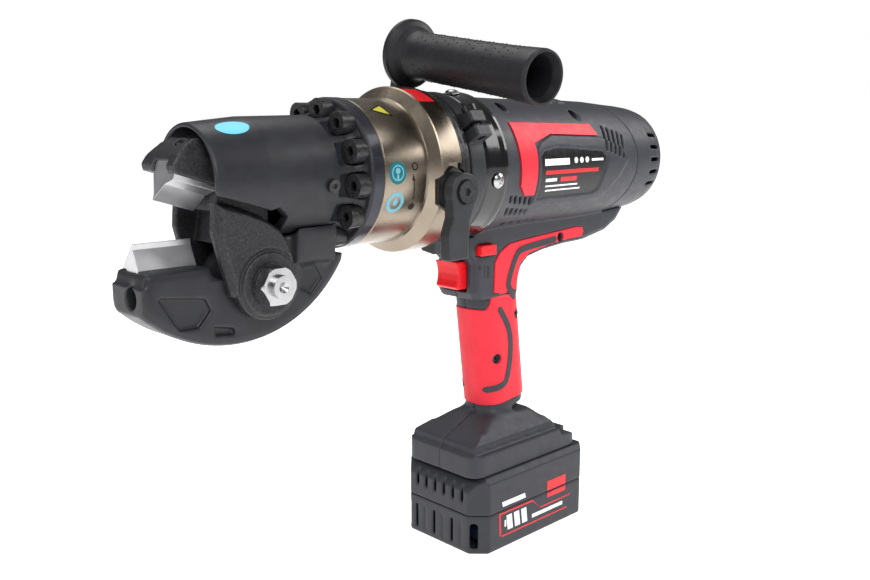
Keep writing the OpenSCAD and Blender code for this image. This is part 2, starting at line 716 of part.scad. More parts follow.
// Foot over the battery, smaller all round by inset
module foot(inset) {
  intersection() {
    from_side([-40, 40]) polygon([[-50 + inset, foot_z], [57 - inset, foot_z], [57 - inset, 66.5 - inset / 2],
      [54 - inset, 67.5 - inset / 2], [53 - inset, 72.5 - inset], [26, 84.5 - inset], [-14, 84.5 - inset],
      [-27 + inset, 72 - inset], [-31 + inset, 62.5 - inset / 2], [-44 + inset / 2, 61 - inset / 2],
      [-50 + inset, 57 - inset / 2]]);
    from_front([-60, 60]) polygon([[-33 + inset, foot_z], [33 - inset, foot_z], [33 - inset, 66.5 - inset / 2],
      [29.5 - inset, 67.5 - inset / 2], [28.5 - inset, 72.5 - inset], [17 - inset, 84 - inset],
      [-17 + inset, 84 - inset], [-28.5 + inset, 72.5 - inset], [-29.5 + inset, 67.5 - inset / 2],
      [-33 + inset, 66.5 - inset / 2]]);
    translate([3.5, 0, 40]) linear_extrude(60) round_rect(107 - 2 * inset, 66 - 2 * inset, 9 - inset);
  }
}

// Places of the housing screws: [x, z, half width of the post]
screw_spots = [[24, 288.5], [-43, 284], [-43, 200.4], [18.6, 123.4], [-1, 151.7]];

// Low raised ribs across the top of the barrel
module top_ribs() intersection() {
  barrel(1.3, barrel_front_x);
  for (x = [-48, -35, -22]) span([x, x + 8], [-15, 15], [barrel_z, barrel_z + 60]);
}

module housing_shell() {
  difference() {
    union() {
      intersection() {
        union() {
          barrel(0, barrel_front_x);
          top_ribs();
        }
        ahead_of_seam();
      }
      difference() {
        neck(0);
        difference() {
          barrel(gap, barrel_front_x);
          ahead_of_seam();
        }
        along_x(47, [barrel_front_x, 60]);
      }
      label_pods();
      grip(0, 0, grip_l + 1.5);
      foot(0);
    }
    difference() {
      union() {
        barrel(-wall, barrel_front_x + 1);
        difference() {
          neck(wall);
          difference() {
            barrel(wall, barrel_front_x);
            ahead_of_seam(-wall);
          }
          along_x(47 + wall, [barrel_front_x - wall, 60]);
        }
        grip(-wall, -1, grip_l + 4);
        foot(wall);
        span([-51, 50], [-24, 24], [foot_z - 1, 64]);
      }
      // posts for the housing screws
      for (p = screw_spots) along_y(4.2, [-27, 27], p[0], p[1]);
      // frames that hold the motor and the gearbox
      for (x = [[-85, -80], [-30, -27], [8, 14]]) difference() {
        along_x(50, x);
        along_x(x[0] > 0 ? 27.5 : 24.5, [x[0] - 1, x[1] + 1]);
      }
      difference() {
        along_x(50, [-8, 2]);
        along_x(8, [-9, 3]);
        along_x(50, [-3, 3]);
      }
      difference() {
        along_x(50, [31, 36]);
        along_x(17, [30, 37]);
      }
      // floor of the neck, round the switch
      difference() {
        span([-14, 60], [-30, 30], [184.5, 187.2]);
        span([5, 55], [-10.2, 10.2], [184, 188]);
      }
      span([-60, 60], [24.3, 40], [foot_z - 5, 64]);
      span([-60, 60], [-40, -24.3], [foot_z - 5, 64]);
      // rails that the battery hangs on
      both_sides() span([-48, 48], [21, 26], [55, 58.6]);
    }
    // opening for the battery at the rear
    span([-60, 48], [-24, 24], [foot_z - 1, 55]);
    span([-60, -45], [-24, 24], [foot_z - 1, 63]);
    // trigger window
    span([39, 50], [-9.9, 9.9], [171.4, 192.2]);
    // the lock button goes right through
    span([26.6, 41.4], [-25, 25], [195.3, 202.7]);
    // the cover lies in a shallow seat
    cover_region(0.01);
    side_panel_seats();
    vents();
    for (p = screw_spots) {
      along_y(1.6, [-40, 40], p[0], p[1]);
      both_sides() along_y(3.4, [12, 45], p[0], p[1]);
    }
  }
}

module vents() {
  both_sides() {
    // slanting slots low at the front
    for (i = [0:4], j = [0:1]) translate([34 - i * 5.2 - j * 2, 0, 233 - j * 8 - i * 0.6]) rotate([0, 25, 0])
      span([-1, 1], [30, 50], [-2.8, 2.8]);
    // small slots in a row under them
    for (i = [0:4]) span([21 - i * 7.6, 25 - i * 7.6], [20, 50], [214.6, 216.4]);
    // slots at the rear
    for (i = [0:4]) translate([-63 - i * 5, 0, 268 - i * 1.5]) rotate([0, -12, 0])
      span([-1, 1], [20, 50], [-8, 9]);
    // slots in the foot
    for (i = [0:4]) span([41 - i * 13, 46.5 - i * 13], [20, 40], [69, 70.6]);
  }
}

// The soft cover: a skin on the grip, the back of the neck and the keel
module cover_outline()
  polygon([[60, 84], [60, 160], [27.5, 157.7], [25.4, 162], [24.2, 189.9], [19.4, 195.8], [10.6, 200.6], [-2, 202],
           [-62, 206.2], [-68, 205.2], [-69.4, 202], [-67, 198.5], [-58, 193], [-58, 180], [-60, 84]]);

cover_cut_l = 86;
// Raised frame round the label on each side, with a shallow field in it
module label_pods() both_sides() intersection() {
  difference() {
    barrel(1.1, barrel_front_x);
    barrel(-1, barrel_front_x + 1);
    from_side([20, 60]) label_field();
  }
  from_side([30, 60]) polygon([[13, 262], [9, 266.5], [-4.4, 271.6], [-57, 269.4], [-80, 262.5], [-88, 254], [-64, 227.5],
                               [-20, 226], [11, 228.5], [12.5, 244]]);
}

module label_field()
  polygon([[9.5, 243], [10, 259.5], [5, 263], [-10, 264.6], [-57, 261.2], [-62.4, 256.5], [-56, 234], [-50, 231.4], [9, 231]]);

// Red panels in front of the labels
module side_panel_outline()
  polygon([[31.4, 280], [-50.6, 278.4], [-54.7, 270.6], [-4.4, 272.4], [14.1, 267], [13.4, 262], [13, 243.9],
           [12.3, 234.2], [21.7, 234.5], [28.2, 240.9], [30.6, 266.1]]);

module side_panel_seats() both_sides() intersection() {
  difference() {
    barrel(4, barrel_front_x);
    barrel(-1, barrel_front_x + 1);
  }
  from_side([20, 60]) side_panel_outline();
}

module side_panels() color("#d8232f") both_sides() intersection() {
  difference() {
    barrel(0.7, barrel_front_x);
    barrel(-1, barrel_front_x + 1);
  }
  from_side([20, 60]) side_panel_outline();
}

module cover_region(extra) {
  intersection() {
    from_side([-30, 30]) cover_outline();
    union() {
      difference() {
        grip(1, -8, cover_cut_l + extra);
        grip(-1.2, -9, cover_cut_l + 1);
      }
      difference() {
        from_side([-neck_w - 1, neck_w + 1]) neck_outline(3.5);
        from_side([-neck_w + 1.2, neck_w - 1.2]) neck_outline(3.5);
        translate([-200, -40, 150]) cube([400, 80, 19.5]);
      }
    }
  }
}

module grip_cover() color("#d8232f")
  difference() {
    intersection() {
      cover_region(0);
      union() {
        grip(0.5, -8, cover_cut_l);
        from_side([-neck_w - 0.5, neck_w + 0.5]) neck_outline(3.5);
      }
    }
    for (p = screw_spots) both_sides() along_y(3.4, [11.9, 45], p[0], p[1]);
  }

module housing_left() color("#3b3d42")
  intersection() {
    housing_shell();
    span([-200, 200], [0, 80], [0, 400]);
  }

module housing_right() color("#3b3d42")
  intersection() {
    housing_shell();
    span([-200, 200], [-80, 0], [0, 400]);
  }

module rear_cap() color("#34363b")
  difference() {
    barrel(0, barrel_front_x);
    barrel(-wall, barrel_front_x + 1);
    ahead_of_seam(gap / 3);
    for (side = [0, 180], i = [-2:2]) translate([0, 0, barrel_z]) rotate([90 + side + i * 14, 0, 0])
      span([-134, -122], [-1.4, 1.4], [20, 50]);
    both_sides() along_y(3.4, [30, 50], -125.5, barrel_z + 25);
    for (i = [-5:5]) span([-150, -139], [-18, 18], [barrel_z + i * 5 - 1.2, barrel_z + i * 5 + 1.2]);
  }

module housing_screws() color("#4a4c50")
  for (p = screw_spots) difference() {
    union() {
      along_y(1.55, [-8, 13], p[0], p[1]);
      along_y(3, [12.05, 14], p[0], p[1]);
    }
    translate([p[0], 13, p[1]]) rotate([-90, 0, 0]) cylinder(r = 1.3, h = 3, $fn = 6);
  }

module trigger() color("#d51f2b")
  difference() {
    from_side([-9.5, 9.5]) polygon([[32, 173.4], [49.4, 173.4], [51.4, 175], [50.2, 179], [49.8, 183.5], [50.6, 188],
      [52, 191.6], [32, 191.6]]);
    span([31, 42], [-7.5, 7.5], [170, 200]);
  }

module switch_module() color("#2a2a2c") {
  span([8, 31.5], [-7, 7], [174.5, 191]);
  span([31.5, 34], [-3, 3], [178, 184]);
}

module lock_button() color("#d51f2b") {
  span([27, 41], [-18.5, 22], [195.7, 202.3]);
}

// ---------------------------------------------------------------- battery

pack_chamfer = 10;   // off each upright corner
module pack_block(inset, z)
  translate([0, 0, z[0]]) linear_extrude(z[1] - z[0]) intersection() {
    round_rect(pack_l - 2 * inset, pack_w - 2 * inset, 8 - inset / 2);
    rotate(45) square((pack_l / 2 + pack_w / 2 - pack_chamfer - 1.3 * inset) * sqrt(2), center = true);
  }

module battery_lower_shell() color("#3a3c41")
  difference() {
    union() {
      pack_block(1, [0, 1]);
      pack_block(0, [1, pack_seam_z]);
    }
    pack_block(2.2, [2.2, 30]);
    for (i = [0:7]) span([50, 60], [-31 + i * 8.4, -29 + i * 8.4 + (i == 0 || i == 7 ? 1.5 : 0)], [4, 21]);
  }

module battery_upper_shell() color("#3a3c41")
  difference() {
    union() {
      pack_block(0, [pack_seam_z + 0.05, 43]);
      intersection() {
        pack_block(0, [43, 51.7]);
        from_front([-60, 60]) polygon([[-37.5, 40], [37.5, 40], [37.5, 48.5], [33.5, 51.7], [-33.5, 51.7], [-37.5, 48.5]]);
        from_side([-50, 50]) polygon([[-58, 40], [58, 40], [57, 44.5], [53, 49], [48, 51.7], [-54, 51.7], [-58, 46]]);
      }
      // rail block and the raised rear end
      span([-50, 44], [-20.5, 20.5], [51, 62]);
      span([-44.9, 44], [-23.5, 23.5], [59, 62]);
      intersection() {
        span([-57.5, -50.3], [-22, 22], [50, 56.5]);
        from_side([-30, 30]) polygon([[-50.3, 50], [-50.3, 56.5], [-54, 55], [-57.5, 52], [-57.5, 50]]);
      }
    }
    pack_block(2.2, [20, 41]);
    span([-40, 40], [-18, 18], [40, 59.5]);
    span([10, 60], [-16, -13], [54, 61]);
    span([10, 60], [13, 16], [54, 61]);
    // latch seat in the rear
    span([-60, -48.8], [-9.3, 9.3], [44.7, 55.3]);
    // grooves in the front face
    for (i = [0:5]) span([55, 60], [-22 + i * 8.4, -19.6 + i * 8.4], [35, 47]);
  }

module battery_cells() color("#2f6fb0")
  for (i = [0:4], j = [0:1])
    translate([-41 + i * 20.4, 0, 12.2 + j * 18.4]) rotate([90, 0, 0])
      cylinder(d = cell_d, h = 65, center = true);

module battery_latch() color("#2b2c30")
  span([-57.6, -52.2], [-9, 9], [45, 55]);

module battery_terminals() color("#c9a24a")
  for (y = [-14.5, 14.5]) span([12, 40], [y - 0.5, y + 0.5], [54.2, 60.5]);

head_shroud();
lower_jaw();
lower_blade();
lower_blade_screw();
upper_jaw();
upper_blade();
upper_blade_screw();
pivot_pin();
pivot_nut();
pivot_washers();
pivot_bush();
head_screws();
grease_plug();
cylinder_body();
gland_ring();
piston();
piston_seal();
piston_rod();
return_spring();
spacer_rings();
pump_body();
pump_plunger();
oil_bladder();
valve_stem();
valve_hub();
release_lever();
lever_screw();
handle_clamp();
clamp_bolt();
handle_stud();
handle_grip();
adapter_ring();
adapter_screws();
ring_gear();
sun_gear();
planet_gear_1();
planet_gear_2();
planet_gear_3();
planet_carrier();
drive_bearing();
motor_can();
motor_magnets();
armature();
motor_shaft();
motor_bearings();
cooling_fan();
housing_left();
housing_right();
side_panels();
rear_cap();
housing_screws();
grip_cover();
trigger();
switch_module();
lock_button();
battery_lower_shell();
battery_upper_shell();
battery_cells();
battery_latch();
battery_terminals();
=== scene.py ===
"""Looks of a cordless rescue cutter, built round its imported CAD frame. Metres, +X forward, +Z up."""
import json
import math

import bmesh
import bpy
from mathutils import Matrix, Vector
from mathutils.bvhtree import BVHTree


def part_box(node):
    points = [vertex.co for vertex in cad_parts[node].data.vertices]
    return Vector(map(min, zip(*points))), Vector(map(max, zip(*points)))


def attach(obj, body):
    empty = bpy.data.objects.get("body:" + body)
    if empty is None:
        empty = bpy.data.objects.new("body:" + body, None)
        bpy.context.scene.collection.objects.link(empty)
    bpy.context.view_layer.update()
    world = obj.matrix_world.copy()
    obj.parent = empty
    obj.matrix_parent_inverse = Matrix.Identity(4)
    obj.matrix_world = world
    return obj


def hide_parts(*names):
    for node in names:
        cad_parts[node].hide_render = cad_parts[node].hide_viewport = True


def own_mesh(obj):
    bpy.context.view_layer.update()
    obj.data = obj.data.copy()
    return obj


MM = 0.001
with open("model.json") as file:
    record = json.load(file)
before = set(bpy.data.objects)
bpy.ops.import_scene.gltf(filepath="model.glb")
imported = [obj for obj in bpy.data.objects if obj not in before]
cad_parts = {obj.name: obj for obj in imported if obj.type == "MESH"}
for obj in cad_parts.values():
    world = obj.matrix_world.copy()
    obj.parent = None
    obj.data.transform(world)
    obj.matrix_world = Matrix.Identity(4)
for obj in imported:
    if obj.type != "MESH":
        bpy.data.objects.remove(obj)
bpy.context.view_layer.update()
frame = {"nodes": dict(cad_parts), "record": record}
NODES = frame["nodes"]
BARREL_Z = 252 * MM
SMOOTH_ANGLE = math.radians(32)


# ---------------------------------------------------------------- materials
class Tree:
    """A material's nodes, with its Principled shader and object coordinates ready."""

    def __init__(self, name):
        self.material = bpy.data.materials.new(name)
        self.material.use_nodes = True
        self.tree = self.material.node_tree
        self.shader = self.tree.nodes["Principled BSDF"]
        self.place = self.add("ShaderNodeTexCoord").outputs["Object"]

    def add(self, kind, inputs=None, **settings):
        node = self.tree.nodes.new(kind)
        for key, value in settings.items():
            setattr(node, key, value)
        for key, value in (inputs or {}).items():
            if isinstance(value, bpy.types.NodeSocket):
                self.tree.links.new(value, node.inputs[key])
            else:
                node.inputs[key].default_value = value
        return node

    def link(self, output, key):
        self.tree.links.new(output, self.shader.inputs[key])

    def noise(self, size_mm, detail=3.0, rough=0.55, place=None):
        inputs = {"Vector": place or self.place, "Scale": 1 / (size_mm * MM), "Detail": detail,
                  "Roughness": rough}
        return self.add("ShaderNodeTexNoise", inputs).outputs["Fac"]

    def stretch(self, scale):
        """Object coordinates scaled by axis, so that noise turns into lines."""
        return self.add("ShaderNodeMapping", {"Vector": self.place, "Scale": scale}).outputs["Vector"]

    def remap(self, value, low, high, start=0.3, end=0.7):
        inputs = {"Value": value, "From Min": start, "From Max": end, "To Min": low, "To Max": high}
        return self.add("ShaderNodeMapRange", inputs).outputs["Result"]

    def blend(self, factor, a, b):
        mix = self.add("ShaderNodeMix", data_type="RGBA")
        for value, key in ((factor, 0), (a, 6), (b, 7)):
            if isinstance(value, bpy.types.NodeSocket):
                self.tree.links.new(value, mix.inputs[key])
            else:
                mix.inputs[key].default_value = value
        return mix.outputs[2]

    def add_values(self, a, b, operation="ADD"):
        return self.add("ShaderNodeMath", {0: a, 1: b}, operation=operation).outputs[0]


def rgb(color, factor=1.0):
    return (*[min(c * factor, 1) for c in color], 1)


def surface(name, color, rough, metal=0.0, vary=0.12, vary_mm=9, rough_vary=0.06, grain=0.15, grain_mm=0.5,
            edge_mm=0.35, lines=None, lines_grain=0.0, wear=None, coat=0.0, specular=0.27,
            grain_deep_mm=0.06):
    """Procedural finish: mottled colour, uneven roughness, grain, soft edges, optional brushing and wear."""
    t = Tree(name)
    mottle = t.noise(vary_mm)
    base = t.blend(t.remap(mottle, 0, 1), rgb(color, 1 - vary), rgb(color, 1 + vary))
    if wear:
        worn = t.remap(t.add("ShaderNodeNewGeometry").outputs["Pointiness"], 0, wear[1], 0.505, 0.56)
        worn = t.add_values(worn, t.remap(t.noise(1.7), 0, 1), "MULTIPLY")
        base = t.blend(worn, base, rgb(wear[0]))
    t.link(base, "Base Color")
    height = t.noise(grain_mm, 4.0)
    uneven = t.noise(vary_mm * 0.6)
    if lines:
        streaks = t.noise(1.0, 4.0, 0.7, t.stretch(lines))
        uneven = t.add_values(uneven, streaks, "MULTIPLY")
        uneven = t.add_values(uneven, 2.0, "MULTIPLY")
        height = t.add_values(height, t.add_values(streaks, lines_grain, "MULTIPLY"))
    t.link(t.remap(uneven, rough - rough_vary, rough + rough_vary), "Roughness")
    soft = t.add("ShaderNodeBevel", {"Radius": edge_mm * MM}, samples=4).outputs["Normal"]
    bump = {"Strength": grain, "Distance": grain_deep_mm * MM, "Height": height, "Normal": soft}
    t.link(t.add("ShaderNodeBump", bump).outputs["Normal"], "Normal")
    t.shader.inputs["Metallic"].default_value = metal
    t.shader.inputs["Specular IOR Level"].default_value = specular
    t.shader.inputs["Coat Weight"].default_value = coat
    t.shader.inputs["Coat Roughness"].default_value = 0.08
    return t.material


TURNED = (2500, 6, 6)            # lines round the barrel axis
GROUND = (30, 2600, 30)          # lines along the blades' sides
CAST = surface("cast_black", (0.0165, 0.0170, 0.0205), 0.40, vary=0.16, grain=0.35, grain_mm=0.55,
               grain_deep_mm=0.05, wear=((0.07, 0.07, 0.075), 0.35), edge_mm=0.5)
ROUGH_CAST = surface("rough_cast", (0.0175, 0.0175, 0.0195), 0.44, vary=0.5, vary_mm=1.6, grain=1.0,
                     grain_mm=1.2, grain_deep_mm=0.38, wear=((0.085, 0.083, 0.08), 0.6), edge_mm=0.5)
BLADE = surface("blade_steel", (0.62, 0.62, 0.64), 0.34, 1.0, vary=0.04, lines=GROUND, lines_grain=0.8,
                grain=0.06, rough_vary=0.03)
OXIDE = surface("black_steel", (0.016, 0.016, 0.018), 0.30, 0.4, grain=0.2, grain_mm=0.5,
                wear=((0.10, 0.10, 0.10), 0.4))
BRIGHT = surface("bright_steel", (0.40, 0.40, 0.41), 0.24, 1.0, vary=0.06, lines=TURNED, lines_grain=0.5)
BRONZE = surface("bronze", (0.62, 0.40, 0.18), 0.34, 1.0, lines=TURNED, lines_grain=0.4)
CYLINDER = surface("cylinder_steel", (0.27, 0.225, 0.175), 0.29, 1.0, vary=0.08, vary_mm=26, lines=TURNED,
                   lines_grain=0.9, grain=0.14, rough_vary=0.05)
DARK_RING = surface("dark_ring", (0.030, 0.030, 0.040), 0.30, 0.6, lines=TURNED, lines_grain=0.7, coat=0.2)
SEAL = surface("seal_rubber", (0.012, 0.012, 0.013), 0.6)
SPRING = surface("spring_steel", (0.36, 0.36, 0.38), 0.35, 1.0)
PUMP = surface("pump_metal", (0.012, 0.012, 0.013), 0.28, 0.2, coat=0.3, lines=TURNED, lines_grain=0.4)
GLOSS = surface("adapter_black", (0.005, 0.005, 0.006), 0.14, vary=0.1, grain=0.05, coat=0.6)
LEVER = surface("lever_black", (0.022, 0.023, 0.026), 0.40, grain=0.35, grain_mm=0.4,
                wear=((0.06, 0.06, 0.07), 0.3))
HANDLE = surface("handle_rubber", (0.0100, 0.0095, 0.0115), 0.46, grain=0.3, grain_mm=0.35)
HOUSING = surface("housing_grey", (0.0285, 0.0295, 0.0365), 0.46, vary=0.07, grain=0.5, grain_mm=0.32,
                  grain_deep_mm=0.05)
PANEL = surface("panel_red", (0.70, 0.020, 0.036), 0.46, vary=0.06, grain=0.3, grain_mm=0.4)
GRIP = surface("grip_red", (0.63, 0.018, 0.034), 0.5, vary=0.07, grain=0.5, grain_mm=0.6, lines=(8, 8, 900),
               lines_grain=1.2, grain_deep_mm=0.10)
TRIGGER = surface("trigger_red", (0.66, 0.008, 0.014), 0.30, vary=0.05, grain=0.1)
BATTERY = surface("battery_grey", (0.0255, 0.0265, 0.0325), 0.46, vary=0.07, grain=0.55, grain_mm=0.32,
                  grain_deep_mm=0.05)
CELL = surface("cell_wrap", (0.008, 0.016, 0.03), 0.35, coat=0.3)
COPPER = surface("copper", (0.72, 0.36, 0.18), 0.3, 1.0, lines=(6, 900, 900), lines_grain=1.5, grain=0.5)
MAGNET = surface("magnet", (0.12, 0.12, 0.13), 0.4, 0.8)
INNER = surface("internal_plastic", (0.02, 0.02, 0.023), 0.45)


def ink(name, color, rough=0.35):
    return surface(name, color, rough, vary=0.05, grain=0.08, edge_mm=0.1)


INK_WHITE = ink("ink_white", (0.78, 0.78, 0.78))
INK_RED = ink("ink_red", (0.62, 0.015, 0.022))
INK_TEAL = ink("ink_teal", (0.003, 0.115, 0.135))
INK_PALE = ink("ink_pale_blue", (0.13, 0.33, 0.41))
INK_SKY = ink("ink_sky_blue", (0.12, 0.50, 0.80))
INK_YELLOW = ink("ink_yellow", (0.50, 0.44, 0.04))
INK_BLACK = ink("ink_black", (0.008, 0.008, 0.009), 0.28)
INSET = surface("inset_grey", (0.030, 0.031, 0.037), 0.5, vary=0.08, grain=0.5, grain_mm=0.4)
BY_SLOT = {
    "cast_black": CAST, "blade_steel": BLADE, "black_steel": OXIDE, "bright_steel": BRIGHT, "bronze": BRONZE,
    "cylinder_steel": CYLINDER, "seal_rubber": SEAL, "spring_steel": SPRING, "pump_metal": PUMP,
    "adapter_black": GLOSS, "lever_black": LEVER, "handle_rubber": HANDLE, "housing_grey": HOUSING,
    "panel_red": PANEL, "grip_red": GRIP, "trigger_red": TRIGGER, "battery_grey": BATTERY, "cell_blue": CELL,
    "copper": COPPER, "magnet": MAGNET, "internal_plastic": INNER,
}


def shade(mesh, material, angle=SMOOTH_ANGLE):
    mesh.materials.clear()
    mesh.materials.append(material)
    mesh.shade_smooth()
    if angle:
        mesh.set_sharp_from_angle(angle=angle)


for part in frame["record"]["subparts"]:
    shade(NODES[part["node"]].data, BY_SLOT[part["material_slot"]])
SLOT_OF = {part["node"]: part["material_slot"] for part in frame["record"]["subparts"]}
BODY_OF = {n: body for body, names in frame["record"]["behaviour"]["bodies"].items() for n in names}


# ---------------------------------------------------------------- pieces
def piece(name, mesh, body, material, slot, angle=None):
    obj = bpy.data.objects.new(name, mesh)
    bpy.context.scene.collection.objects.link(obj)
    shade(mesh, material, angle)
    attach(obj, body)
    return obj


def flattened(source):
    """A new mesh with the object's modifiers applied; the object is removed."""
    bpy.context.view_layer.update()
    made = bpy.data.meshes.new_from_object(source.evaluated_get(bpy.context.evaluated_depsgraph_get()))
    bpy.data.objects.remove(source)
    return made


def melt(mesh, inside, passes):
    """Smooth only the points that inside(x, y, z in mm) accepts."""
    bm = bmesh.new()
    bm.from_mesh(mesh)
    zone = [v for v in bm.verts if inside(*(v.co / MM))]
    for _ in range(passes):
        bmesh.ops.smooth_vert(bm, verts=zone, factor=0.5, use_axis_x=True, use_axis_y=True, use_axis_z=True)
    bm.to_mesh(mesh)
    bm.free()


def moulded(name, node, voxel_mm, passes, keep, material=None, soft_zone=None, soft_passes=0):
    """A copy of a CAD node with its edges rounded: remeshed, smoothed and thinned out."""
    source = bpy.data.objects.new(name + "_source", NODES[node].data.copy())
    bpy.context.scene.collection.objects.link(source)
    bm = bmesh.new()
    bm.from_mesh(source.data)
    bmesh.ops.remove_doubles(bm, verts=bm.verts, dist=1e-6)
    bm.to_mesh(source.data)
    bm.free()
    remesh = source.modifiers.new("remesh", "REMESH")
    remesh.mode, remesh.voxel_size, remesh.adaptivity = "VOXEL", voxel_mm * MM, 0
    smooth = source.modifiers.new("smooth", "SMOOTH")
    smooth.factor, smooth.iterations = 0.5, passes
    made = flattened(source)
    if soft_zone:
        melt(made, soft_zone, soft_passes)
    thick = bpy.data.objects.new(name + "_dense", made)
    bpy.context.scene.collection.objects.link(thick)
    thick.modifiers.new("thin", "DECIMATE").ratio = keep
    slot = SLOT_OF[node]
    obj = piece(name, flattened(thick), BODY_OF[node], material or BY_SLOT[slot], slot)
    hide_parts(node)
    return obj


def foot_dome(x, y, z):
    return 76.5 < z < 95 and abs(x - 5) < 36 and 1.5 < abs(y) < 25


def saddle(x, y, z):
    return z > 203 and x > 158


def build_moulded():
    moulded("shroud_casting", "head_shroud", 0.6, 7, 0.35)
    moulded("lower_jaw_casting", "lower_jaw", 0.6, 7, 0.4, None, saddle, 90)
    moulded("upper_jaw_casting", "upper_jaw", 0.6, 7, 0.4, ROUGH_CAST)
    moulded("shell_left", "housing_left", 0.7, 6, 0.25, None, foot_dome, 130)
    moulded("shell_right", "housing_right", 0.7, 6, 0.25, None, foot_dome, 130)
    for name, node, voxel, passes, keep in (
        ("shell_rear", "rear_cap", 0.7, 6, 0.3),
        ("grip_rubber", "grip_cover", 0.45, 4, 0.4),
        ("battery_base", "battery_lower_shell", 0.8, 5, 0.25),
        ("battery_top", "battery_upper_shell", 0.7, 4, 0.3),
        ("clamp_casting", "handle_clamp", 0.6, 4, 0.4),
        ("lever_casting", "release_lever", 0.45, 6, 0.4),
        ("trigger_blade", "trigger", 0.4, 6, 0.5),
        ("lock_knob", "lock_button", 0.4, 5, 0.5),
        ("latch_button", "battery_latch", 0.35, 5, 0.6),
    ):
        moulded(name, node, voxel, passes, keep)


build_moulded()


# ---------------------------------------------------------------- marks laid on the surfaces, drawn in mm
RAY_START = 0.09     # metres from the middle plane or the barrel axis, outside every surface marked


def skin_of(names):
    points, faces = [], []
    for name in names:
        mesh = NODES[name].data
        start = len(points)
        points += [v.co.copy() for v in mesh.vertices]
        faces += [[start + i for i in p.vertices] for p in mesh.polygons]
    return BVHTree.FromPolygons(points, faces)


def on_side(names, side=1):
    """Marks drawn as (x, z) and set on the side faces of nodes."""
    skin = skin_of(names)

    def put(x, z):
        place, normal, *_ = skin.ray_cast(Vector((x * MM, side * RAY_START, z * MM)), Vector((0, -side, 0)))
        return place, normal
    return put


def on_barrel(names, radius, side=1):
    """Marks drawn as (x, arc length above the side of the barrel) and set round the barrel."""
    skin = skin_of(names)

    def put(x, arc):
        out = Vector((0, side * math.cos(arc / radius), math.sin(arc / radius)))
        place, normal, *_ = skin.ray_cast(Vector((x * MM, 0, BARREL_Z)) + out * RAY_START, -out)
        return place, normal
    return put


def outline(*points):
    return list(points), [tuple(range(len(points)))]


def box(x0, x1, z0, z1, slant=0.0):
    return outline((x0, z0), (x1, z0), (x1 + slant, z1), (x0 + slant, z1))


def oval(x, z, rx, rz, count=28):
    turns = [math.tau * i / count for i in range(count)]
    return outline(*[(x + rx * math.cos(a), z + rz * math.sin(a)) for a in turns])


def ring(x, z, inner, outer, count=32):
    turns = [math.tau * i / count for i in range(count)]
    points = [(x + r * math.cos(a), z + r * math.sin(a)) for r in (inner, outer) for a in turns]
    return points, [(i, (i + 1) % count, count + (i + 1) % count, count + i) for i in range(count)]


def rounded(points, times=3):
    """An open path with its corners cut again and again."""
    for _ in range(times):
        cut = [points[0]]
        for a, b in zip(points, points[1:]):
            cut += [tuple(a[k] * (1 - t) + b[k] * t for k in (0, 1)) for t in (0.25, 0.75)]
        points = cut + [points[-1]]
    return points


def band(points, width, closed=False):
    """A strip of even width along a path, with round ends if the path is open."""
    path = [Vector(p) for p in points]
    count = len(path)
    sides = []
    for i, p in enumerate(path):
        before = path[i - 1] if closed or i else None
        after = path[(i + 1) % count] if closed or i < count - 1 else None
        steps = [(q - r).normalized() for q, r in ((p, before), (after, p))
                 if q is not None and r is not None]
        way = sum(steps, Vector((0, 0))).normalized()
        across = Vector((-way.y, way.x))
        lean = max(abs(across.dot(Vector((-steps[0].y, steps[0].x)))), 0.5)
        sides.append((p, across * (width / 2 / lean), way))
    if closed:
        flat = [tuple(p + o) for p, o, _ in sides] + [tuple(p - o) for p, o, _ in sides]
        return flat, [(i, (i + 1) % count, count + (i + 1) % count, count + i) for i in range(count)]
    caps = []
    for (p, offset, way), ahead in ((sides[-1], 1), (sides[0], -1)):
        turns = [math.pi * k / 8 for k in range(1, 8)]
        caps.append([tuple(p + ahead * (offset * math.cos(a) + way * math.sin(a) * width / 2))
                     for a in turns])
    left = [tuple(p + o) for p, o, _ in sides]
    right = [tuple(p - o) for p, o, _ in reversed(sides)]
    return outline(*left, *caps[0], *right, *caps[1])


THIN = 0.12          # mm, how far marks stand proud


